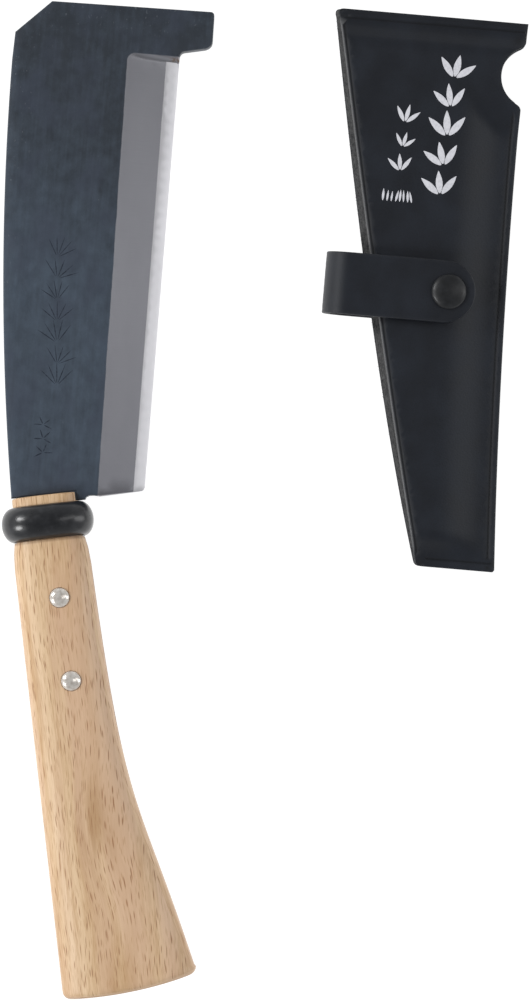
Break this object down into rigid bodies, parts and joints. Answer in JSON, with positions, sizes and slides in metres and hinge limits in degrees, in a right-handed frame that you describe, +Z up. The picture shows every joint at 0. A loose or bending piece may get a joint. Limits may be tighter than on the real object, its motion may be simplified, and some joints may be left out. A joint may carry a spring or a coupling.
{
  "type": "beaked hatchet with sheath",
  "caption": "Square-hooked chopping blade with a rivetted wooden handle and ferrule, beside its flat pouch sheath with a press-stud strap.",
  "frame": {"origin": "middle of the set's footprint, on the table it lies on", "axes": "+Z up from the table; +Y towards the blade's tip, with the cutting edge leaning 4.9 degrees towards +X; +X from the hatchet to the sheath"},
  "size_m": [0.1974, 0.373, 0.0349],
  "materials": {
    "black_iron": "satin blue-black forge finish over soft iron, ground bare on the bevels",
    "hard_steel": "bright honed steel",
    "beech": "smooth pale beech with short brown flecks",
    "black_lacquer": "glossy black lacquer on a rolled steel ring",
    "nickel": "polished nickel plate",
    "vinyl": "black synthetic leather with a low sheen",
    "seam_filler": "black filler strip",
    "black_snap": "black enamelled brass"
  },
  "bodies": {
    "hatchet": {"blade_body": "black_iron", "blade_edge_steel": "hard_steel", "handle": "beech", "ferrule": "black_lacquer", "rivet_front_post": "nickel", "rivet_front_barrel": "nickel", "rivet_rear_post": "nickel", "rivet_rear_barrel": "nickel"},
    "sheath": {"sheath_back_panel": "vinyl", "sheath_front_panel": "vinyl", "seam_strip_edge": "seam_filler", "seam_strip_top": "seam_filler", "seam_strip_bottom": "seam_filler", "strap_back": "vinyl", "snap_stud": "nickel", "snap_post": "nickel", "strap_rivet_1": "black_snap", "strap_rivet_2": "black_snap", "strap_washer_1": "nickel", "strap_washer_2": "nickel"},
    "strap_flap": {"strap_flap": "vinyl", "snap_cap": "black_snap", "snap_socket": "nickel"}
  },
  "joints": [
    {"name": "sheath_lift", "type": "slide", "parent": "hatchet", "child": "sheath", "axis": [0, 0, 1], "range_m": [0, 0.12]},
    {"name": "strap_open", "type": "hinge", "parent": "sheath", "child": "strap_flap", "pos_m": [0.03102, 0.0799, 0.0182], "axis": [-0.0854, -0.9963, 0], "range_deg": [0, 150]}
  ]
}
